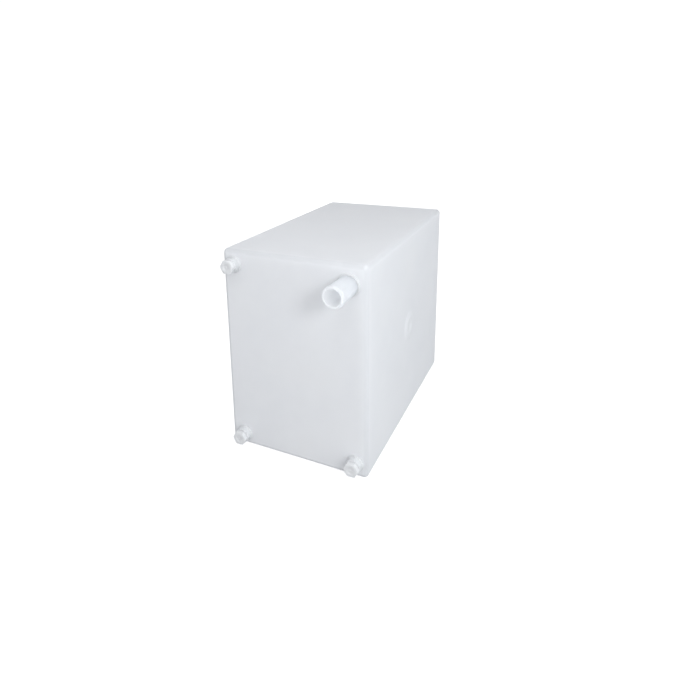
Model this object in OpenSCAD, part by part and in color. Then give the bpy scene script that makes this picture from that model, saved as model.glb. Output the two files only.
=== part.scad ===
// Fresh water tank for a food truck or trailer: a hollow moulded box with a
// fill spout and three plugged ports, all on one end.
// Millimetres, +Z up. The origin is the middle of the underside of the shell.
// The ports and the spout are on the -Y end.

/* [Shell] */
// Width across the end that carries the ports (X)
tank_width = 254; // [200:1:400]
// Length from the port end to the blind end (Y)
tank_length = 431.8; // [200:0.2:800]
// Height (Z)
tank_height = 355.6; // [220:0.2:600]
// Radius on every outside edge and corner
edge_radius = 8; // [7:0.5:10]
// Thickness of the moulded wall
wall = 4.5; // [3:0.25:6]

/* [Fill spout] */
// Middle of the spout in from the +X side
spout_side = 30.5; // [28:0.5:60]
// Middle of the spout down from the top
spout_down = 33; // [28:0.5:60]
// Reach of the spout's mouth from the end wall
spout_reach = 58; // [40:0.5:90]
// Outside diameter of the tube, for a 1-1/4 inch bore hose
spout_tube_d = 32; // [30:0.2:36]
// Bore of the tube
spout_bore_d = 26; // [20:0.2:26.4]
// How far the bead at the mouth stands out from the tube
bead_rise = 1.3; // [0.8:0.1:2]
// How far the welded flange stands out from the tube
spout_flange = 2.5; // [2.5:0.25:6]

/* [Ports] */
// Middle of the vent in from the -X side
vent_side = 21; // [20.5:0.5:60]
// Middle of the vent down from the top
vent_down = 25; // [20.5:0.5:60]
// Middle of the outlet in from the -X side
outlet_side = 26.5; // [20.5:0.5:60]
// Middle of the outlet up from the underside
outlet_up = 22; // [20.5:0.5:60]
// Middle of the drain in from the +X side
drain_side = 20.5; // [20.5:0.5:60]
// Middle of the drain up from the underside
drain_up = 25; // [20.5:0.5:60]
// Thickness of a welded flange
flange_thick = 2.4; // [2:0.2:5]
// Diameter of a port's boss
port_boss_d = 25.4; // [24:0.2:26.6]
// How far a port's welded flange stands out from its boss
port_flange = 1.5; // [1.4:0.1:1.9]
// Reach of a port's boss from the end wall
port_reach = 12; // [10:0.5:20]
// Bore of a port, at the pitch line of its 3/8 inch pipe thread
port_bore_d = 16; // [15:0.1:17]

/* [Plugs] */
// Width across the flats of a plug's hexagon head
plug_flats = 22.2; // [21:0.1:24]
// Length of a plug's head
plug_head = 7.8; // [5:0.1:10]
// Length of a plug's shank below the head
plug_shank = 11; // [8:0.25:12]
// Depth of the shallow dish in the face of a plug's head
dish_depth = 0.85; // [0.6:0.05:1.5]
// Thickness of a sealing washer
washer_thick = 1.2; // [0.8:0.1:2]

/* [Side roundel] */
// Diameter of the blank raised roundel on the +X side
roundel_d = 72; // [40:1:100]
// Height of the roundel above the side
roundel_height = 2.2; // [0.8:0.1:2.5]

/* [Hidden] */
$fn = 96;
// plane of the port end
front = -tank_length / 2;
// radial running clearance between a plug's shank and its bore
plug_clearance = 0.06;
plug_shank_d = port_bore_d - 2 * plug_clearance;
plug_core_d = 9;
port_flange_d = port_boss_d + 2 * port_flange;
// hole in the end wall behind the spout, a little wider than its bore
spout_hole_d = spout_bore_d + 1.2;
washer_d = 22;
spout_x = tank_width / 2 - spout_side;
spout_z = tank_height - spout_down;
vent = [-tank_width / 2 + vent_side, tank_height - vent_down];
outlet = [-tank_width / 2 + outlet_side, outlet_up];
drain = [tank_width / 2 - drain_side, drain_up];
// how deep the flat pad behind a flange is let into the rounded edge
pad_depth = 2;

PE = [0.93, 0.94, 0.96];
PE_FITTING = [0.88, 0.90, 0.93];
PLUG = [0.80, 0.82, 0.86];
SILICONE = [0.75, 0.78, 0.80];

// a box with every edge and corner rounded, standing on z = 0, middle at x = y = 0
module soft_box(w, l, h, r) {
    translate([-w / 2 + r, -l / 2 + r, 0]) cube([w - 2 * r, l - 2 * r, h]);
    translate([-w / 2, -l / 2 + r, r]) cube([w, l - 2 * r, h - 2 * r]);
    translate([-w / 2 + r, -l / 2, r]) cube([w - 2 * r, l, h - 2 * r]);
    for (x = [-1, 1], y = [-1, 1])
        translate([x * (w / 2 - r), y * (l / 2 - r), r]) cylinder(r = r, h = h - 2 * r);
    for (x = [-1, 1], z = [r, h - r])
        translate([x * (w / 2 - r), -l / 2 + r, z]) rotate([-90, 0, 0]) cylinder(r = r, h = l - 2 * r);
    for (y = [-1, 1], z = [r, h - r])
        translate([-w / 2 + r, y * (l / 2 - r), z]) rotate([0, 90, 0]) cylinder(r = r, h = w - 2 * r);
    for (x = [-1, 1], y = [-1, 1], z = [r, h - r])
        translate([x * (w / 2 - r), y * (l / 2 - r), z]) sphere(r = r);
}

// stands a turned piece on the port end, with its own +Z pointing out of the tank
module on_end(p) {
    translate([p[0], front, p[1]]) rotate([90, 0, 0]) children();
}

module tank_shell() {
    color(PE)
    difference() {
        union() {
            soft_box(tank_width, tank_length, tank_height, edge_radius);
            // flat pads that carry the port flanges over the rounded edges
            for (p = [vent, outlet, drain])
                on_end(p) translate([0, 0, -pad_depth]) cylinder(d = port_flange_d, h = pad_depth);
            side_roundel();
        }
        translate([0, 0, wall])
            soft_box(tank_width - 2 * wall, tank_length - 2 * wall, tank_height - 2 * wall,
                     edge_radius - wall);
        // openings through the end wall
        on_end([spout_x, spout_z]) translate([0, 0, -wall - 1]) cylinder(d = spout_hole_d, h = wall + 2);
        for (p = [vent, outlet, drain])
            on_end(p) translate([0, 0, -wall - 1]) cylinder(d = port_bore_d, h = wall + 2);
    }
}

// blank raised roundel in the middle of the +X side: a soft dome with a dimple
module side_roundel() {
    r = roundel_d / 2;
    translate([tank_width / 2, 0, tank_height / 2]) rotate([0, 90, 0])
        rotate_extrude()
            polygon([[0, -1], [r, -1], [r, 0], [r * 0.86, roundel_height * 0.05],
                     [r * 0.76, roundel_height * 0.28], [r * 0.58, roundel_height * 0.80],
                     [r * 0.47, roundel_height * 0.97], [r * 0.38, roundel_height],
                     [r * 0.30, roundel_height * 0.90], [r * 0.17, roundel_height * 0.52],
                     [r * 0.10, roundel_height * 0.42], [0, roundel_height * 0.40]]);
}

// welded flange, tube and rolled bead, bored through
module fill_spout() {
    r = spout_tube_d / 2;
    rb = r + bead_rise;
    rf = r + spout_flange;
    ri = spout_bore_d / 2;
    color(PE_FITTING)
    on_end([spout_x, spout_z]) rotate_extrude()
        polygon([[ri, 0], [rf, 0], [rf, flange_thick - 0.8], [rf - 0.8, flange_thick],
                 [r + 1.2, flange_thick], [r + 0.35, flange_thick + 0.35], [r, flange_thick + 1.2],
                 [r, spout_reach - 7], [r + bead_rise * 0.7, spout_reach - 5.2],
                 [rb, spout_reach - 4.2], [rb, spout_reach - 2.8],
                 [r + bead_rise * 0.6, spout_reach - 1.2], [r - 0.2, spout_reach - 0.3],
                 [r - 0.9, spout_reach], [ri + 0.8, spout_reach], [ri, spout_reach - 0.8]]);
}

// welded flange and boss, bored through for a plug
module port_fitting(p) {
    r = port_boss_d / 2;
    rf = port_flange_d / 2;
    ri = port_bore_d / 2;
    color(PE_FITTING)
    on_end(p) rotate_extrude()
        polygon([[ri, 0], [rf, 0], [rf, flange_thick - 0.5], [rf - 0.5, flange_thick],
                 [r + 0.8, flange_thick], [r + 0.25, flange_thick + 0.25], [r, flange_thick + 0.8],
                 [r, port_reach - 0.8], [r - 0.8, port_reach], [ri, port_reach]]);
}

module vent_fitting() { port_fitting(vent); }
module outlet_fitting() { port_fitting(outlet); }
module drain_fitting() { port_fitting(drain); }

// hexagon head on a hollow shank; the shank reaches into the port
module port_plug(p) {
    seat = port_reach + washer_thick;
    color(PLUG)
    on_end(p) difference() {
        union() {
            translate([0, 0, seat]) intersection() {
                cylinder(d = plug_flats / cos(30), h = plug_head, $fn = 6);
                // turned chamfer on the outer corners of the head
                rotate_extrude()
                    polygon([[0, 0], [plug_flats / 2 + 1.8, 0], [plug_flats / 2 + 1.8, plug_head - 1.2],
                             [plug_flats / 2 - 0.6, plug_head], [0, plug_head]]);
            }
            rotate_extrude()
                polygon([[0, seat - plug_shank], [plug_shank_d / 2 - 1, seat - plug_shank],
                         [plug_shank_d / 2, seat - plug_shank + 1], [plug_shank_d / 2, seat + 0.5],
                         [0, seat + 0.5]]);
        }
        // the shank is cored out from its inner end
        translate([0, 0, seat - plug_shank - 1]) cylinder(d = plug_core_d, h = plug_shank);
        // dish in the face of the head, which leaves the stub of the moulding gate in its middle
        translate([0, 0, seat + plug_head])
            rotate_extrude()
                polygon([[0, 1], [7, 1], [7, 0], [6.1, -dish_depth], [1.4, -dish_depth],
                         [1.1, -0.4], [0, -0.4]]);
    }
}

module vent_plug() { port_plug(vent); }
module outlet_plug() { port_plug(outlet); }
module drain_plug() { port_plug(drain); }

// flat sealing ring between a boss and a plug's head
module plug_washer(p) {
    color(SILICONE)
    on_end(p) translate([0, 0, port_reach]) difference() {
        cylinder(d = washer_d, h = washer_thick);
        translate([0, 0, -1]) cylinder(d = plug_shank_d + 0.1, h = washer_thick + 2);
    }
}

module vent_plug_washer() { plug_washer(vent); }
module outlet_plug_washer() { plug_washer(outlet); }
module drain_plug_washer() { plug_washer(drain); }

tank_shell();
fill_spout();
vent_fitting();
outlet_fitting();
drain_fitting();
vent_plug();
outlet_plug();
drain_plug();
vent_plug_washer();
outlet_plug_washer();
drain_plug_washer();
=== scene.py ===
import math

import bmesh
import bpy
import numpy as np
from mathutils import Matrix, Vector


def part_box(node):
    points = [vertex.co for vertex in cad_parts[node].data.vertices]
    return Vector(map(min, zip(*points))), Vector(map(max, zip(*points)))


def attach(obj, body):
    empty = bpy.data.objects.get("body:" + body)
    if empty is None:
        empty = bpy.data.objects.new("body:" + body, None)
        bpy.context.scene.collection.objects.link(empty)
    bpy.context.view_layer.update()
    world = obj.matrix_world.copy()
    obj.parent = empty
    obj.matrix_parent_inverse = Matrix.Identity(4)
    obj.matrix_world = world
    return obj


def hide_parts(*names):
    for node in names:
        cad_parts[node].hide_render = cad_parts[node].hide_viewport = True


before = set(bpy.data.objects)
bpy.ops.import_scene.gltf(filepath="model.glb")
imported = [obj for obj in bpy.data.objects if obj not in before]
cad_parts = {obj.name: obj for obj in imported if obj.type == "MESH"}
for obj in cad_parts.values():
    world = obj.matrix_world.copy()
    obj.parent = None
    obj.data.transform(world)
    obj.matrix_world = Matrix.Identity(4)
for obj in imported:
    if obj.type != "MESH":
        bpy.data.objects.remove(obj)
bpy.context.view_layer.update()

MM = 0.001
TAU = 2 * math.pi
PORTS = ("vent", "outlet", "drain")

shell_lo, shell_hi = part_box("tank_shell")
spout_lo, spout_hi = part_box("fill_spout")
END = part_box("fill_spout")[1].y          # plane of the port end
WX = 2 * abs(shell_lo.x)                 # width without the roundel
LY = shell_hi.y - shell_lo.y
HZ = shell_hi.z - shell_lo.z
EDGE_R = 8 * MM
WALL = 4.5 * MM
ROUNDEL_H = shell_hi.x - WX / 2

SPOUT = ((spout_lo.x + spout_hi.x) / 2, (spout_lo.z + spout_hi.z) / 2)
PORT = {}
for k in PORTS:
    lo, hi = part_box(k + "_fitting")
    PORT[k] = ((lo.x + hi.x) / 2, (lo.z + hi.z) / 2)

SPOUT_R = 16 * MM
SPOUT_BORE = 13 * MM
SPOUT_FLANGE_R = (spout_hi.x - spout_lo.x) / 2
SPOUT_REACH = END - spout_lo.y
PORT_FLANGE_R = (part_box("vent_fitting")[1].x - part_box("vent_fitting")[0].x) / 2
FLANGE_T = 2.4 * MM
PORT_R = 12.7 * MM
PORT_BORE = 8 * MM
PORT_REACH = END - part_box("vent_fitting")[0].y
WASHER_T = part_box("vent_plug_washer")[1].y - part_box("vent_plug_washer")[0].y
WASHER_R = (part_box("vent_plug_washer")[1].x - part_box("vent_plug_washer")[0].x) / 2
SEAT = PORT_REACH + WASHER_T
PLUG_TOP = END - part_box("vent_plug")[0].y
PLUG_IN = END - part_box("vent_plug")[1].y
PLUG_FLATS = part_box("vent_plug")[1].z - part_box("vent_plug")[0].z
PITCH = 1.4111 * MM


# ---------------------------------------------------------------- materials

class Graph:
    """Short hand for building a node tree."""

    def __init__(self, name):
        self.mat = bpy.data.materials.new(name)
        self.mat.use_nodes = True
        self.t = self.mat.node_tree
        self.t.nodes.clear()
        self.out = self.t.nodes.new("ShaderNodeOutputMaterial")
        self.bsdf = self.t.nodes.new("ShaderNodeBsdfPrincipled")
        self.t.links.new(self.bsdf.outputs[0], self.out.inputs[0])
        self.obj = self.t.nodes.new("ShaderNodeTexCoord").outputs["Object"]

    def link(self, a, b):
        self.t.links.new(a, b)

    def node(self, kind, **sets):
        n = self.t.nodes.new(kind)
        for key, value in sets.items():
            setattr(n, key, value)
        return n

    def noise(self, scale, detail=3.0, rough=0.5, vector=None, distortion=0.0):
        n = self.node("ShaderNodeTexNoise")
        n.inputs["Scale"].default_value = scale
        n.inputs["Detail"].default_value = detail
        n.inputs["Roughness"].default_value = rough
        n.inputs["Distortion"].default_value = distortion
        self.link(vector or self.obj, n.inputs["Vector"])
        return n.outputs["Fac"]

    def voronoi(self, scale, feature="F1", vector=None):
        n = self.node("ShaderNodeTexVoronoi", feature=feature)
        n.inputs["Scale"].default_value = scale
        self.link(vector or self.obj, n.inputs["Vector"])
        return n.outputs["Distance"]

    def math(self, op, a, b=None, clamp=False):
        n = self.node("ShaderNodeMath", operation=op, use_clamp=clamp)
        for i, v in enumerate((a, b)):
            if v is None:
                continue
            if isinstance(v, (int, float)):
                n.inputs[i].default_value = v
            else:
                self.link(v, n.inputs[i])
        return n.outputs[0]

    def span(self, value, lo, hi, to_lo=0.0, to_hi=1.0, smooth=True):
        n = self.node("ShaderNodeMapRange")
        n.interpolation_type = "SMOOTHSTEP" if smooth else "LINEAR"
        n.clamp = True if not smooth else n.clamp
        self.link(value, n.inputs["Value"])
        n.inputs["From Min"].default_value = lo
        n.inputs["From Max"].default_value = hi
        n.inputs["To Min"].default_value = to_lo
        n.inputs["To Max"].default_value = to_hi
        return n.outputs["Result"]

    def ramp(self, value, stops):
        n = self.node("ShaderNodeValToRGB")
        e = n.color_ramp.elements
        while len(e) < len(stops):
            e.new(0.5)
        for el, (p, c) in zip(e, stops):
            el.position = p
            el.color = (*c, 1.0)
        self.link(value, n.inputs["Fac"])
        return n.outputs["Color"]

    def mix(self, fac, a, b, blend="MIX"):
        n = self.node("ShaderNodeMix", data_type="RGBA", blend_type=blend)
        for sock, v in ((n.inputs[0], fac), (n.inputs[6], a), (n.inputs[7], b)):
            if isinstance(v, (int, float)):
                sock.default_value = v
            elif isinstance(v, tuple):
                sock.default_value = (*v, 1.0)
            else:
                self.link(v, sock)
        return n.outputs[2]

    def bump(self, height, distance, strength=1.0, below=None):
        n = self.node("ShaderNodeBump")
        n.inputs["Distance"].default_value = distance
        n.inputs["Strength"].default_value = strength
        self.link(height, n.inputs["Height"])
        if below is not None:
            self.link(below, n.inputs["Normal"])
        return n.outputs["Normal"]

    def split(self, vector=None):
        n = self.node("ShaderNodeSeparateXYZ")
        self.link(vector or self.obj, n.inputs[0])
        return n.outputs

    def finish(self, color, roughness, normal, through=0.0, tint_through=(0.955, 0.965, 0.98), share=None, **uniform):
        """through is the share of the light that passes the surface, for a milky, translucent wall. share can vary it."""
        b = self.bsdf
        self.link(color, b.inputs["Base Color"])
        self.link(roughness, b.inputs["Roughness"])
        if normal is not None:
            self.link(normal, b.inputs["Normal"])
        for key, value in uniform.items():
            b.inputs[key.replace("_", " ")].default_value = value
        if through > 0:
            t = self.node("ShaderNodeBsdfTranslucent")
            t.inputs["Color"].default_value = (*tint_through, 1.0)
            m = self.node("ShaderNodeMixShader")
            if share is None:
                m.inputs[0].default_value = through
            else:
                self.link(share, m.inputs[0])
            self.link(b.outputs[0], m.inputs[1])
            self.link(t.outputs[0], m.inputs[2])
            self.link(m.outputs[0], self.out.inputs[0])
        return self.mat


def shell_material():
    """Rotationally moulded natural polyethylene: cloudy, satin, with a faint orange peel."""
    g = Graph("shell_polyethylene")
    x, y, z = g.split()
    # closeness to the box's edges, which carries a painted highlight on the faces towards the edges and a painted shade
    # on the bevels themselves
    ax = g.math("SUBTRACT", WX / 2, g.math("ABSOLUTE", x))
    ay = g.math("SUBTRACT", LY / 2, g.math("ABSOLUTE", y))
    az = g.math("SUBTRACT", HZ / 2, g.math("ABSOLUTE", g.math("SUBTRACT", z, HZ / 2)))
    near = [g.span(v, 0.0, 0.020, 1.0, 0.0) for v in (ax, ay, az)]
    total = g.math("ADD", g.math("ADD", near[0], near[1]), near[2])
    edge = g.span(total, 0.95, 1.75)
    pair = g.math("MAXIMUM", g.math("ADD", near[0], near[1]),
                  g.math("MAXIMUM", g.math("ADD", near[0], near[2]), g.math("ADD", near[1], near[2])))
    bevel_shade_mask = g.span(pair, 1.64, 1.93)
    cloud = g.noise(9.0, 4.0, 0.55, distortion=0.4)
    blotch = g.noise(34.0, 3.0, 0.5)
    grain = g.noise(420.0, 2.0, 0.6)
    tint = g.ramp(cloud, [(0.30, (0.800, 0.812, 0.840)), (0.52, (0.818, 0.828, 0.852)), (0.74, (0.836, 0.844, 0.862))])
    tint = g.mix(g.span(blotch, 0.35, 0.7, 0.0, 0.35), tint, (0.850, 0.862, 0.884))
    # painted highlight: the faces are whitened towards the box's edges, where the rounded edges catch more light
    tint = g.mix(g.math("MULTIPLY", edge, 0.20), tint, (0.885, 0.902, 0.925))
    # painted shade: the bevels are darkened to take back the light that the key lamp throws on them, least so round the
    # far corner
    far = g.span(g.math("SUBTRACT", y, x), 0.10, 0.26, 0.85, 0.10)
    tint = g.mix(g.math("MULTIPLY", bevel_shade_mask, far), tint, (0.665, 0.677, 0.700))
    # powder specks that did not melt in quite as clear as the rest
    speck = g.span(g.voronoi(260.0), 0.0, 0.16, 1.0, 0.0)
    speck = g.math("MULTIPLY", speck, g.span(g.noise(60.0, 1.0), 0.52, 0.70, 0.0, 0.30))
    tint = g.mix(speck, tint, (0.90, 0.91, 0.925))
    rough = g.math("ADD", g.span(blotch, 0.2, 0.8, 0.38, 0.50), g.span(grain, 0.2, 0.8, -0.03, 0.05))
    n = g.bump(g.noise(7.5, 2.0, 0.45), 0.0022)
    n = g.bump(g.noise(38.0, 2.0, 0.5), 0.00035, below=n)
    n = g.bump(g.noise(330.0, 3.0, 0.55), 0.00010, below=n)
    pit = g.span(g.voronoi(900.0), 0.0, 0.20, 0.0, 1.0)
    n = g.bump(pit, 0.00003, below=n)
    return g.finish(tint, rough, n, through=0.35, IOR=1.50, Specular_IOR_Level=0.45)


def inside_material():
    """The cavity's wall: the powder side of the moulding, matt and clear enough to let daylight in."""
    g = Graph("shell_inside")
    cloud = g.noise(22.0, 4.0, 0.55)
    grain = g.noise(300.0, 3.0, 0.6)
    tint = g.ramp(cloud, [(0.3, (0.950, 0.956, 0.964)), (0.7, (0.965, 0.968, 0.974))])
    rough = g.math("ADD", g.span(cloud, 0.2, 0.8, 0.60, 0.72), g.span(grain, 0.2, 0.8, -0.04, 0.06))
    n = g.bump(grain, 0.00025)
    return g.finish(tint, rough, n, through=0.78, tint_through=(0.985, 0.988, 0.992), IOR=1.50, Specular_IOR_Level=0.3)


def fitting_material(name, tone, through):
    """Injection moulded natural polyethylene: smoother than the shell, with faint turning lines."""
    g = Graph(name)
    cloud = g.noise(55.0, 3.0, 0.5, distortion=0.6)
    fine = g.noise(700.0, 2.0, 0.6)
    x, y, z = g.split()
    flow = g.noise(1.0, 2.0, 0.5, vector=stretched(g, (60.0, 420.0, 60.0)))
    tint = g.ramp(cloud, [(0.30, (0.960 * tone, 0.978 * tone, tone)), (0.70, (0.996 * tone, 1.010 * tone, 1.030 * tone))])
    tint = g.mix(g.span(flow, 0.45, 0.75, 0.0, 0.3), tint, (1.025 * tone, 1.035 * tone, 1.050 * tone))
    # painted light: the inside of the spout's bore is whitened, standing in for the light that comes in through the
    # milky tube
    bore = g.math("SQRT", g.math("ADD", g.math("POWER", g.math("SUBTRACT", x, SPOUT[0]), 2.0),
                                 g.math("POWER", g.math("SUBTRACT", z, SPOUT[1]), 2.0)))
    tint = g.mix(g.span(bore, SPOUT_BORE + 0.0004, SPOUT_BORE + 0.0010, 1.0, 0.0), tint, (0.965, 0.970, 0.978))
    # thick and cloudy where it is welded to the wall, clear further out
    foot = g.span(y, END - 0.0034, END - 0.0026)
    tint = g.mix(foot, tint, (0.765, 0.777, 0.798))
    share = g.span(y, END - 0.0034, END - 0.0026, through, 0.22)
    rough = g.math("ADD", g.span(cloud, 0.2, 0.8, 0.42, 0.54), g.span(fine, 0.2, 0.8, -0.03, 0.04))
    n = g.bump(flow, 0.00006)
    n = g.bump(fine, 0.00002, below=n)
    return g.finish(tint, rough, n, through=through, tint_through=(0.974, 0.985, 1.0), share=share,
                    IOR=1.50, Specular_IOR_Level=0.3)


def stretched(g, scale):
    n = g.node("ShaderNodeMapping")
    n.inputs["Scale"].default_value = scale
    g.link(g.obj, n.inputs["Vector"])
    return n.outputs[0]


def plug_material():
    """Injection moulded natural polypropylene, a little glossier and greyer."""
    g = Graph("plug_polypropylene")
    cloud = g.noise(80.0, 3.0, 0.5, distortion=0.5)
    fine = g.noise(900.0, 2.0, 0.6)
    scuff = g.noise(1.0, 2.0, 0.6, vector=stretched(g, (240.0, 1400.0, 240.0)))
    tint = g.ramp(cloud, [(0.30, (0.795, 0.805, 0.822)), (0.70, (0.828, 0.838, 0.855))])
    tint = g.mix(g.span(scuff, 0.62, 0.78, 0.0, 0.25), tint, (0.860, 0.866, 0.880))
    rough = g.math("ADD", g.span(cloud, 0.2, 0.8, 0.28, 0.40), g.span(scuff, 0.5, 0.8, 0.0, 0.10))
    n = g.bump(scuff, 0.00004)
    n = g.bump(fine, 0.00002, below=n)
    return g.finish(tint, rough, n, through=0.30, IOR=1.49, Specular_IOR_Level=0.5)


def silicone_material():
    """Soft translucent silicone with a slightly dusty, matt face."""
    g = Graph("silicone_rubber")
    cloud = g.noise(140.0, 3.0, 0.6)
    fine = g.noise(1600.0, 2.0, 0.6)
    tint = g.ramp(cloud, [(0.3, (0.800, 0.815, 0.830)), (0.7, (0.850, 0.865, 0.875))])
    rough = g.math("ADD", g.span(cloud, 0.2, 0.8, 0.48, 0.62), g.span(fine, 0.2, 0.8, -0.04, 0.06))
    n = g.bump(fine, 0.00003)
    return g.finish(tint, rough, n, through=0.35, IOR=1.41, Specular_IOR_Level=0.4)


def floor_material():
    g = Graph("floor_paper")
    fibre = g.noise(90.0, 4.0, 0.6)
    tint = g.ramp(fibre, [(0.3, (0.90, 0.90, 0.90)), (0.7, (0.93, 0.93, 0.93))])
    rough = g.span(fibre, 0.2, 0.8, 0.85, 0.95)
    g.bsdf.inputs["Emission Color"].default_value = (1.0, 1.0, 1.0, 1.0)
    return g.finish(tint, rough, g.bump(fibre, 0.0001), Specular_IOR_Level=0.1, Emission_Strength=FLOOR_GLOW)


# ---------------------------------------------------------------- mesh helpers

def new_piece(name, verts, faces, material, body, smooth=35.0):
    me = bpy.data.meshes.new(name)
    me.from_pydata([tuple(v) for v in verts], [], [tuple(f) for f in faces])
    me.validate()
    ob = bpy.data.objects.new(name, me)
    bpy.context.scene.collection.objects.link(ob)
    bm = bmesh.new()
    bm.from_mesh(me)
    bmesh.ops.remove_doubles(bm, verts=bm.verts, dist=1e-7)
    bmesh.ops.recalc_face_normals(bm, faces=bm.faces)
    bm.to_mesh(me)
    bm.free()
    shade(ob, smooth)
    me.materials.append(material)
    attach(ob, body)
    return ob


def shade(ob, angle):
    me = ob.data
    me.polygons.foreach_set("use_smooth", [True] * len(me.polygons))
    bm = bmesh.new()
    bm.from_mesh(me)
    lim = math.radians(angle)
    for e in bm.edges:
        e.smooth = not (len(e.link_faces) == 2 and e.calc_face_angle(0) > lim)
    bm.to_mesh(me)
    bm.free()


class Parts:
    """Several closed meshes gathered into one list of vertices and faces."""

    def __init__(self):
        self.v = []
        self.f = []

    def add(self, verts, faces):
        n = len(self.v)
        self.v += [tuple(map(float, p)) for p in verts]
        self.f += [tuple(i + n for i in f) for f in faces]

    def grid(self, rings, close=False):
        """Faces between rings of equal length. With close, the last ring joins the first."""
        m = len(rings[0])
        verts = [p for r in rings for p in r]
        faces = []
        pairs = [(i, i + 1) for i in range(len(rings) - 1)]
        if close:
            pairs.append((len(rings) - 1, 0))
        for a, b in pairs:
            for j in range(m):
                k = (j + 1) % m
                faces.append((a * m + j, a * m + k, b * m + k, b * m + j))
        self.add(verts, faces)
        return self

    def solid(self, rings):
        """A closed body: rings from one pole to the other, each end filled with a fan."""
        m = len(rings[0])
        verts = [p for r in rings for p in r]
        faces = []
        for a in range(len(rings) - 1):
            for j in range(m):
                k = (j + 1) % m
                faces.append((a * m + j, a * m + k, (a + 1) * m + k, (a + 1) * m + j))
        first = np.mean(np.array(rings[0]), axis=0)
        last = np.mean(np.array(rings[-1]), axis=0)
        c0, c1 = len(verts), len(verts) + 1
        verts += [tuple(first), tuple(last)]
        base = (len(rings) - 1) * m
        for j in range(m):
            k = (j + 1) % m
            faces.append((c0, k, j))
            faces.append((c1, base + j, base + k))
        self.add(verts, faces)
        return self


def on_end(centre, r, a, h):
    """A point at radius r and angle a round a port's axis, h out from the port end."""
    return (centre[0] + r * math.cos(a), END - h, centre[1] + r * math.sin(a))


def ring(centre, r, h, n):
    """One ring of n points. r and h are numbers or functions of the angle."""
    out = []
    for i in range(n):
        a = TAU * i / n
        out.append(on_end(centre, r(a) if callable(r) else r, a, h(a) if callable(h) else h))
    return out


def arc(c, r, a0, a1, n):
    """Points on an arc in the (radius, height) plane, angles in degrees."""
    return [(c[0] + r * math.cos(math.radians(a0 + (a1 - a0) * i / n)),
             c[1] + r * math.sin(math.radians(a0 + (a1 - a0) * i / n))) for i in range(n + 1)]


def smooth_noise(a, seed, harmonics=(3, 5, 8, 13, 21)):
    """A repeatable wavering value of an angle, about -1 to 1."""
    rng = np.random.RandomState(seed)
    v = 0.0
    for h in harmonics:
        v += math.sin(h * a + rng.uniform(0, TAU)) / h ** 0.5
    return v / 1.6


# ---------------------------------------------------------------- the shell

def lines(lo, hi, step, fine=None, fine_step=None):
    """Grid lines from lo to hi about step apart, closer together inside the fine spans."""
    cuts = [lo]
    spans = sorted(fine or [])
    for a, b in spans:
        cuts += [max(a, lo), min(b, hi)]
    cuts.append(hi)
    out = []
    for i in range(len(cuts) - 1):
        a, b = cuts[i], cuts[i + 1]
        if b - a < 1e-9:
            continue
        s = fine_step if i % 2 == 1 else step
        n = max(1, round((b - a) / s))
        out += [a + (b - a) * j / n for j in range(n)]
    out.append(hi)
    return out


def waver(p, seed):
    """Slow, repeatable undulation of a moulded wall at points p (n, 3), 0 to 1."""
    rng = np.random.RandomState(seed)
    v = np.zeros(len(p))
    total = 0.0
    for scale, amp, count in ((0.34, 1.0, 6), (0.15, 0.45, 8), (0.07, 0.16, 10)):
        for _ in range(count):
            d = rng.normal(size=3)
            d /= np.linalg.norm(d)
            v += amp / count ** 0.5 * np.sin(p @ d * TAU / scale + rng.uniform(0, TAU))
        total += amp ** 2 * 0.5
    v = v / (2.6 * total ** 0.5)
    return np.clip(0.5 + 0.5 * v, 0, 1)


def rounded_box(w, l, h, z0, r, xs, ys, zs, arc_steps):
    """A box with rounded edges as one closed mesh of quads. xs, ys and zs are the lines on its flat faces."""
    half = np.array([w / 2, l / 2, h / 2])
    inner = half - r
    tans = [r * math.tan(math.radians(45.0 * i / arc_steps)) for i in range(1, arc_steps + 1)]

    def axis_lines(flat, i):
        return np.array([-inner[i] - t for t in reversed(tans)] + list(flat) + [inner[i] + t for t in tans])

    ax = [axis_lines(v, i) for i, v in enumerate((xs, ys, zs))]
    index, verts, faces = {}, [], []

    def vert(i, j, k):
        key = (i, j, k)
        if key not in index:
            index[key] = len(verts)
            verts.append((ax[0][i], ax[1][j], ax[2][k]))
        return index[key]

    nx, ny, nz = (len(a) - 1 for a in ax)
    for k, flip in ((0, True), (nz, False)):
        for i in range(nx):
            for j in range(ny):
                q = [vert(i, j, k), vert(i + 1, j, k), vert(i + 1, j + 1, k), vert(i, j + 1, k)]
                faces.append(q[::-1] if flip else q)
    for j, flip in ((0, False), (ny, True)):
        for i in range(nx):
            for k in range(nz):
                q = [vert(i, j, k), vert(i + 1, j, k), vert(i + 1, j, k + 1), vert(i, j, k + 1)]
                faces.append(q[::-1] if flip else q)
    for i, flip in ((0, True), (nx, False)):
        for j in range(ny):
            for k in range(nz):
                q = [vert(i, j, k), vert(i, j + 1, k), vert(i, j + 1, k + 1), vert(i, j, k + 1)]
                faces.append(q[::-1] if flip else q)
    p = np.array(verts)
    core = np.clip(p, -inner, inner)
    d = p - core
    normal = d / np.maximum(np.linalg.norm(d, axis=1)[:, None], 1e-12)
    q = core + normal * r
    q[:, 2] += z0 + h / 2
    return q, normal, faces


def roundel_height(rho):
    """Height of the roundel at distance rho from its middle: a soft dome with a dimple."""
    pts = [(0.0, 0.40), (3.5, 0.42), (13.5, 1.0), (17.0, 0.97), (31.0, 0.05), (36.0, 0.0), (60.0, 0.0)]
    xs = np.array([a for a, _ in pts]) * MM
    hs = np.array([b for _, b in pts]) * ROUNDEL_H
    # smooth between the knots
    i = np.clip(np.searchsorted(xs, rho, side="right") - 1, 0, len(xs) - 2)
    t = np.clip((rho - xs[i]) / (xs[i + 1] - xs[i]), 0, 1)
    t = t * t * (3 - 2 * t)
    return hs[i] * (1 - t) + hs[i + 1] * t


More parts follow.
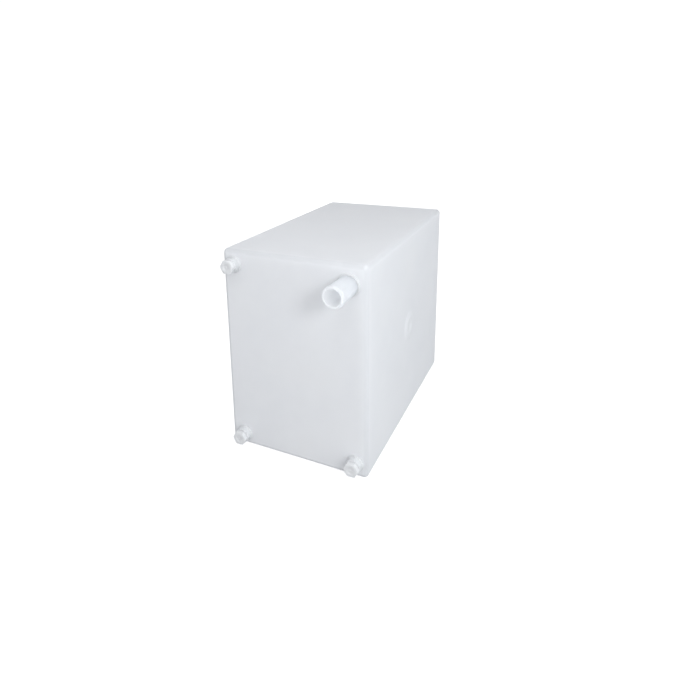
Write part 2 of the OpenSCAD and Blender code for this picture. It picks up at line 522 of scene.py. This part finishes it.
def make_shell(material, lining):
    ri = EDGE_R - WALL
    zc = HZ / 2
    fine = [(-0.040, 0.040)]
    xs = lines(-WX / 2 + EDGE_R, WX / 2 - EDGE_R, 0.0055)
    ys = lines(-LY / 2 + EDGE_R, LY / 2 - EDGE_R, 0.0065, fine, 0.002)
    zs = lines(-HZ / 2 + EDGE_R, HZ / 2 - EDGE_R, 0.0065, fine, 0.002)
    q, normal, faces = rounded_box(WX, LY, HZ, 0.0, EDGE_R, xs, ys, zs, 6)
    # how far a point is inside a flat face, which is where a moulded wall wavers and sinks
    half = np.array([WX / 2, LY / 2, HZ / 2])
    c = q - np.array([0, 0, zc])
    gap = np.sort(half - np.abs(c), axis=1)      # the smallest is across the wall itself
    inside = np.clip(gap[:, 1] / 0.055, 0, 1)
    inside = inside * inside * (3 - 2 * inside)
    sink = (0.10 + 0.90 * waver(q, 11)) * MM * SINK
    bow = np.clip(gap[:, 1] / 0.127, 0, 1) ** 2 * BOW * MM
    depth = (sink + bow) * inside
    flat_bottom = normal[:, 2] < -0.5
    depth[flat_bottom] *= 0.25
    # stay flat where a fitting is welded on
    for cx, cz, r in [(SPOUT[0], SPOUT[1], SPOUT_FLANGE_R)] + [(PORT[k][0], PORT[k][1], PORT_FLANGE_R) for k in PORTS]:
        front = normal[:, 1] < -0.5
        d = np.hypot(q[:, 0] - cx, q[:, 2] - cz)
        t = np.clip((d - r - 0.004) / 0.030, 0, 1)
        t = t * t * (3 - 2 * t)
        depth = np.where(front, depth * t, depth)
    q = q - normal * depth[:, None]
    side = normal[:, 0] > 0.999
    rho = np.hypot(q[:, 1], q[:, 2] - zc)
    lift = np.where(side, roundel_height(rho), 0.0)
    q[:, 0] += lift
    q[:, 0] = np.minimum(q[:, 0], shell_hi.x)
    parts = Parts()
    parts.add(q, faces)
    # the cavity's wall, turned to face inwards
    xi = lines(-WX / 2 + EDGE_R, WX / 2 - EDGE_R, 0.018)
    yi = lines(-LY / 2 + EDGE_R, LY / 2 - EDGE_R, 0.018)
    zi = lines(-HZ / 2 + EDGE_R, HZ / 2 - EDGE_R, 0.018)
    qi, ni, fi = rounded_box(WX - 2 * WALL, LY - 2 * WALL, HZ - 2 * WALL, WALL, ri, xi, yi, zi, 3)
    parts.add(qi, [f[::-1] for f in fi])
    me = bpy.data.meshes.new("shell_moulded")
    me.from_pydata(parts.v, [], parts.f)
    me.materials.append(material)
    me.materials.append(lining)
    me.polygons.foreach_set("material_index", [0] * len(faces) + [1] * len(fi))
    ob = bpy.data.objects.new("shell_moulded", me)
    bpy.context.scene.collection.objects.link(ob)
    # cut the openings behind the spout and the ports
    cut = Parts()
    for (cx, cz), r in [(SPOUT, SPOUT_BORE + 0.6 * MM)] + [(PORT[k], PORT_BORE) for k in PORTS]:
        cut.solid([ring((cx, cz), r, h, 64) for h in (-WALL - 2 * MM, 2 * MM)])
    cm = bpy.data.meshes.new("cutter")
    cm.from_pydata(cut.v, [], cut.f)
    bm = bmesh.new()
    bm.from_mesh(cm)
    bmesh.ops.recalc_face_normals(bm, faces=bm.faces)
    bm.to_mesh(cm)
    bm.free()
    co = bpy.data.objects.new("cutter", cm)
    bpy.context.scene.collection.objects.link(co)
    mod = ob.modifiers.new("holes", "BOOLEAN")
    mod.operation = "DIFFERENCE"
    mod.solver = "EXACT"
    mod.object = co
    bpy.context.view_layer.update()
    done = bpy.data.meshes.new_from_object(ob.evaluated_get(bpy.context.evaluated_depsgraph_get()))
    ob.modifiers.clear()
    ob.data = done
    bpy.data.objects.remove(co)
    done.name = "shell_moulded"
    shade(ob, 32)
    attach(ob, "tank")
    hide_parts("tank_shell")
    return ob


# ---------------------------------------------------------------- fittings

def wall_drop(centre):
    """How far the wall lies behind the end plane at radius r and angle a round centre, over the rounded edges."""
    def drop(r, a):
        x = centre[0] + r * math.cos(a)
        z = centre[1] + r * math.sin(a)
        dx = max(0.0, abs(x) - (WX / 2 - EDGE_R))
        dz = max(0.0, abs(z - HZ / 2) - (HZ / 2 - EDGE_R))
        d = min(math.hypot(dx, dz), EDGE_R * 0.999)
        return EDGE_R - math.sqrt(EDGE_R ** 2 - d * d)
    return drop


def fitting_rings(centre, r_tube, r_flange, bore, reach, n, mouth):
    """Rings of a welded fitting from the buried foot of its bore round the outside and back down the bore."""
    flange_t = FLANGE_T
    prof = [(bore, 0.0), (r_flange - 0.4 * MM, 0.0), (r_flange, 0.0)]
    prof += [(r_flange, flange_t * f) for f in (0.25, 0.5)]
    prof += arc((r_flange - 0.7 * MM, flange_t - 0.7 * MM), 0.7 * MM, 0, 90, 6)
    fil = min(1.3 * MM, r_flange - r_tube - 0.75 * MM)
    prof += arc((r_tube + fil, flange_t + fil), fil, 270, 180, 6)
    prof += mouth
    return [ring(centre, r, h, n) for r, h in prof]


def thread_rings(centre, base, height, h0, h1, n, steps, hand_phase, fade):
    """Rings along a helical thread between h0 and h1. height is outward (positive) or inward (negative)."""
    out = []
    count = max(2, round((h1 - h0) / PITCH * steps))
    for i in range(count + 1):
        h = h0 + (h1 - h0) * i / count
        env = min(1.0, (h - h0) / fade, (h1 - h) / fade)
        env = max(0.0, env)

        def r(a, h=h, env=env):
            # right-hand: a turn towards a larger angle goes with a move outwards
            t = (h / PITCH - a / TAU + hand_phase) % 1.0
            tri = 1.0 - abs(2.0 * t - 1.0)
            tooth = min(1.0, max(0.0, (tri - 0.12) / 0.72))
            return base + height * tooth * env
        out.append(ring(centre, r, h, n))
    return out


def make_port(k, material):
    c = PORT[k]
    n = 96
    edge = 0.7 * MM
    mouth = [(PORT_R, PORT_REACH * f) for f in (0.55, 0.75)]
    mouth += arc((PORT_R - edge, PORT_REACH - edge), edge, 0, 90, 5)
    mouth += [(PORT_BORE + 1.3 * MM, PORT_REACH)]
    rings = fitting_rings(c, PORT_R, PORT_FLANGE_R, PORT_BORE, PORT_REACH, n, mouth)
    rings += [ring(c, PORT_BORE + 0.75 * MM, PORT_REACH - 0.55 * MM, n)]
    thread = thread_rings(c, PORT_BORE + 0.70 * MM, -0.68 * MM, 0.4 * MM, PORT_REACH - 0.7 * MM, n, 9, 0.5, 1.2 * MM)
    rings += thread[::-1]
    rings += [ring(c, PORT_BORE, 0.0, n)]
    parts = Parts()
    parts.grid(rings, close=True)
    ob = new_piece(k + "_port_boss", parts.v, parts.f, material, "tank", 40)
    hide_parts(k + "_fitting")
    return ob


def make_spout(material):
    c = SPOUT
    n = 128
    bead = 17.3 * MM
    R = SPOUT_REACH
    t = [(SPOUT_R, R * f) for f in (0.15, 0.25, 0.35, 0.45, 0.55, 0.65, 0.75, 0.83)]
    # rolled bead with a blunt nose
    t += [(SPOUT_R + 0.05 * MM, R - 8.2 * MM), (SPOUT_R + 0.35 * MM, R - 6.9 * MM), (SPOUT_R + 0.85 * MM, R - 5.8 * MM),
          (bead - 0.12 * MM, R - 4.9 * MM), (bead, R - 4.1 * MM), (bead - 0.06 * MM, R - 3.1 * MM),
          (bead - 0.45 * MM, R - 2.1 * MM), (SPOUT_R + 0.35 * MM, R - 1.2 * MM), (SPOUT_R - 0.25 * MM, R - 0.45 * MM),
          (SPOUT_R - 0.85 * MM, R - 0.08 * MM), (SPOUT_R - 1.35 * MM, R)]
    t += [(SPOUT_BORE + 0.75 * MM, R), (SPOUT_BORE + 0.25 * MM, R - 0.25 * MM), (SPOUT_BORE, R - 0.85 * MM)]
    rings = fitting_rings(c, SPOUT_R, SPOUT_FLANGE_R, SPOUT_BORE, R, n, t)
    # the bore, a hair wider towards the tank, as a moulded tube draws
    rings += [ring(c, SPOUT_BORE + 0.25 * MM * (1 - f), R * f, n) for f in (0.9, 0.75, 0.6, 0.45, 0.3, 0.15, 0.0)]
    parts = Parts()
    parts.grid(rings, close=True)
    ob = new_piece("fill_spout_tube", parts.v, parts.f, material, "tank", 50)
    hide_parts("fill_spout")
    return ob


def make_flash(name, c, r_foot, seed, material):
    """The bead of melted plastic that a spin weld squeezes out round a flange."""
    n = 144
    drop = wall_drop(c)
    rings = []
    m = 10
    for j in range(m):
        b = TAU * j / m

        def r(a, b=b):
            w = 0.62 * MM * (1 + 0.30 * smooth_noise(a, seed))
            return r_foot + 0.25 * MM + w * math.cos(b)

        def h(a, b=b):
            w = 0.50 * MM * (1 + 0.35 * smooth_noise(a, seed + 1))
            return -drop(r_foot + 0.25 * MM, a) + 0.10 * MM + w * math.sin(b)
        rings.append(ring(c, r, h, n))
    parts = Parts()
    parts.grid(rings, close=True)
    return new_piece(name, parts.v, parts.f, material, "tank", 60)


def make_plug(k, material):
    c = PORT[k]
    n = 120
    af = PLUG_FLATS / 2
    corner = af / math.cos(math.pi / 6)
    blunt = corner - 0.35 * MM
    top = PLUG_TOP
    core = 4.5 * MM

    def hexr(shrink=0.0, cap=blunt):
        def r(a):
            t = (a + math.pi / 6) % (math.pi / 3) - math.pi / 6
            # corners of the hexagon at +X and -X
            s = (a % (math.pi / 3)) - math.pi / 6
            return min((af - shrink) / math.cos(s), cap - shrink)
        return r

    body = hexr()

    def chamfer_h(a):
        return top - 1.2 * MM * max(0.0, (body(a) - (af - 0.6 * MM)) / (2.4 * MM))

    parts = Parts()
    head = [ring(c, 7.2 * MM, SEAT + 0.05 * MM, n),
            ring(c, hexr(0.55 * MM), SEAT, n),
            ring(c, hexr(0.15 * MM), SEAT + 0.12 * MM, n),
            ring(c, body, SEAT + 0.5 * MM, n),
            ring(c, body, SEAT + 3.0 * MM, n),
            ring(c, body, lambda a: chamfer_h(a) - 0.35 * MM, n),
            ring(c, lambda a: body(a) - 0.10 * MM, lambda a: chamfer_h(a) - 0.03 * MM, n),
            ring(c, lambda a: max(body(a) * 0.5 + (af - 0.6 * MM) * 0.5, af - 0.55 * MM),
                 lambda a: top - 1.2 * MM * max(0.0, (body(a) * 0.5 + (af - 0.6 * MM) * 0.5 - (af - 0.6 * MM)) / (2.4 * MM)), n),
            ring(c, af - 0.75 * MM, top - 0.02 * MM, n),
            ring(c, af - 1.1 * MM, top, n),
            # a shallow moulded dish, with the stub of the gate in its middle
            ring(c, 6.1 * MM, top, n),
            ring(c, 5.8 * MM, top - 0.10 * MM, n),
            ring(c, 5.3 * MM, top - 0.72 * MM, n),
            ring(c, 5.0 * MM, top - 0.85 * MM, n),
            ring(c, 1.6 * MM, top - 0.88 * MM, n),
            ring(c, 1.25 * MM, top - 0.80 * MM, n),
            ring(c, 1.05 * MM, top - 0.42 * MM, n),
            ring(c, 0.85 * MM, top - 0.32 * MM, n)]
    parts.solid(head)
    # threaded shank, cored from its inner end
    root = PORT_BORE - 0.72 * MM
    crest = 0.62 * MM
    h0, h1 = PLUG_IN, SEAT + 0.3 * MM
    rings = [ring(c, core, SEAT - 0.8 * MM, n), ring(c, core, PLUG_IN + 0.4 * MM, n),
             ring(c, core + 0.4 * MM, PLUG_IN, n), ring(c, root - 0.55 * MM, PLUG_IN, n)]
    thread = thread_rings(c, root, crest, PLUG_IN + 0.5 * MM, SEAT - 1.2 * MM, n, 10, 0.0, 1.1 * MM)
    rings += thread
    rings += [ring(c, root, SEAT - 1.0 * MM, n), ring(c, root, h1, n)]
    # from the shank's top down the middle to the core's blind end
    parts.solid([ring(c, 0.4 * MM, SEAT - 0.9 * MM, n), ring(c, core - 0.6 * MM, SEAT - 0.9 * MM, n)] + rings
                + [ring(c, 0.4 * MM, h1, n)])
    ob = new_piece(k + "_hex_plug", parts.v, parts.f, material, k + "_plug_body", 28)
    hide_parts(k + "_plug")
    return ob


def make_washer(k, material):
    c = PORT[k]
    n = 96
    t = WASHER_T
    ri = PORT_BORE + 0.02 * MM
    e = 0.35 * MM
    out = [(ri + e, PORT_REACH)]
    out += arc((WASHER_R - e, PORT_REACH + e), e, 270, 360, 4)
    out += [(WASHER_R + 0.0 * MM, PORT_REACH + t / 2)]
    out += arc((WASHER_R - e, PORT_REACH + t - e), e, 0, 90, 4)
    out += arc((ri + e, PORT_REACH + t - e), e, 90, 180, 4)
    out += arc((ri + e, PORT_REACH + e), e, 180, 270, 4)[:-1]
    parts = Parts()
    parts.grid([ring(c, r, h, n) for r, h in out], close=True)
    ob = new_piece(k + "_seal_ring", parts.v, parts.f, material, k + "_washer_body", 45)
    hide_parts(k + "_plug_washer")
    return ob


# ---------------------------------------------------------------- build

SINK = 0.45
BOW = 0.35
FLOOR_GLOW = 0.50
HORIZON = 1.06
WORLD = 0.645
BELOW = 0.50
KEY = 8.3
FILL_SIDE = 7.8
FILL_FRONT = 1.45
FRONT_TOP = 2.25
FILL_BACK = 7.0

shell_mat = shell_material()
# painted light and shade: one plastic in two tones, the spout's tube darker to take back the light it catches standing
# clear of the wall, the bosses lighter to make up for the shade they sit in close to the wall
tube_mat = fitting_material("spout_polyethylene", 0.785, 0.81)
boss_mat = fitting_material("boss_polyethylene", 0.925, 0.44)
inside_mat = inside_material()
plug_mat = plug_material()
seal_mat = silicone_material()

make_shell(shell_mat, inside_mat)
make_spout(tube_mat)
make_flash("spout_weld_bead", SPOUT, SPOUT_FLANGE_R, 5, tube_mat)
for i, k in enumerate(PORTS):
    make_port(k, boss_mat)
    make_flash(k + "_weld_bead", PORT[k], PORT_FLANGE_R, 21 + 7 * i, boss_mat)
    make_plug(k, plug_mat)
    make_washer(k, seal_mat)

# the CAD nodes that the pieces stand for keep a proper finish too
for name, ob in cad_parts.items():
    m = shell_mat if name == "tank_shell" else (seal_mat if name.endswith("washer") else (plug_mat if name.endswith("plug") else (tube_mat if name == "fill_spout" else boss_mat)))
    for s in ob.material_slots:
        s.material = m

# ---------------------------------------------------------------- floor, light, camera

fm = bpy.data.meshes.new("floor")
fm.from_pydata([(-60, -60, 0), (60, -60, 0), (60, 60, 0), (-60, 60, 0)], [], [(0, 1, 2, 3)])
floor = bpy.data.objects.new("floor", fm)
bpy.context.scene.collection.objects.link(floor)
fm.materials.append(floor_material())
floor.location.z = -0.0002
# the floor is there to be stood on and seen; the light that comes up from below is the world's
floor.visible_diffuse = False
floor.visible_glossy = False
floor.visible_transmission = False
floor.visible_shadow = False

world = bpy.data.worlds.new("studio")
bpy.context.scene.world = world
world.use_nodes = True
bg = world.node_tree.nodes["Background"]
wt = world.node_tree
sky = wt.nodes.new("ShaderNodeTexCoord")
sep = wt.nodes.new("ShaderNodeSeparateXYZ")
wt.links.new(sky.outputs["Generated"], sep.inputs[0])


def sky_part(lo, hi, change):
    """Adds change to the world's strength as the direction's Z goes from lo to hi."""
    n = wt.nodes.new("ShaderNodeMapRange")
    n.interpolation_type = "SMOOTHSTEP"
    n.inputs["From Min"].default_value = lo
    n.inputs["From Max"].default_value = hi
    n.inputs["To Min"].default_value = 0.0
    n.inputs["To Max"].default_value = change
    wt.links.new(sep.outputs["Z"], n.inputs["Value"])
    return n.outputs["Result"]


def plus(a, b):
    n = wt.nodes.new("ShaderNodeMath")
    n.operation = "ADD"
    for i, v in enumerate((a, b)):
        if isinstance(v, float):
            n.inputs[i].default_value = v
        else:
            wt.links.new(v, n.inputs[i])
    return n.outputs[0]


upward = sky_part(0.13, 0.40, WORLD - HORIZON)
downward = sky_part(-0.03, -0.25, BELOW - HORIZON)
wt.links.new(plus(plus(upward, downward), HORIZON), bg.inputs["Strength"])
bg.inputs["Color"].default_value = (0.985, 0.99, 1.0, 1.0)


def area(name, at, to, size, power, color=(1, 1, 1)):
    light = bpy.data.lights.new(name, "AREA")
    light.shape = "DISK"
    light.size = size
    light.energy = power
    light.color = color
    ob = bpy.data.objects.new(name, light)
    bpy.context.scene.collection.objects.link(ob)
    ob.location = at
    ob.rotation_mode = "QUATERNION"
    ob.rotation_quaternion = (Vector(to) - Vector(at)).to_track_quat("-Z", "Y")
    return ob


area("key", (1.0, -0.97, 0.87), (0.06, -0.15, 0.2), 0.45, KEY, (0.98, 0.995, 1.0))
area("fill_side", (1.9, -0.5, 0.35), (0.1, 0.0, 0.18), 1.4, FILL_SIDE, (0.90, 0.972, 1.0))
area("fill_front", (0.55, -1.9, 0.40), (0.0, -0.15, 0.18), 1.4, FILL_FRONT, (1.0, 0.988, 0.97))
area("front_top", (0.15, -0.55, 1.15), (0.05, -0.1, 0.3), 0.6, FRONT_TOP)
# low behind the far corner, so that the blind end and the plain side have some shape too
area("fill_back", (-1.3, 1.9, 0.10), (0.0, 0.1, 0.18), 0.9, FILL_BACK)

cam = bpy.data.cameras.new("camera")
co = bpy.data.objects.new("camera", cam)
bpy.context.scene.collection.objects.link(co)
right = Vector((0.8904, 0.4545, -0.0246)).normalized()
forward = Vector((-0.4466, 0.8621, -0.2395)).normalized()
right = (right - forward * right.dot(forward)).normalized()
above = right.cross(forward)
rot = Matrix((right, above, -forward)).transposed().to_4x4()
rot.translation = Vector((0.3925, -0.9231, 0.5956))
co.matrix_world = rot
cam.sensor_width = 36.0
cam.lens = 28.253
cam.shift_x = 0.065
cam.shift_y = -0.1707
cam.clip_start, cam.clip_end = 0.02, 200.0
bpy.context.scene.camera = co

scene = bpy.context.scene
scene.view_settings.view_transform = "Standard"
scene.view_settings.look = "None"
scene.view_settings.exposure = 0.0
scene.view_settings.gamma = 1.0
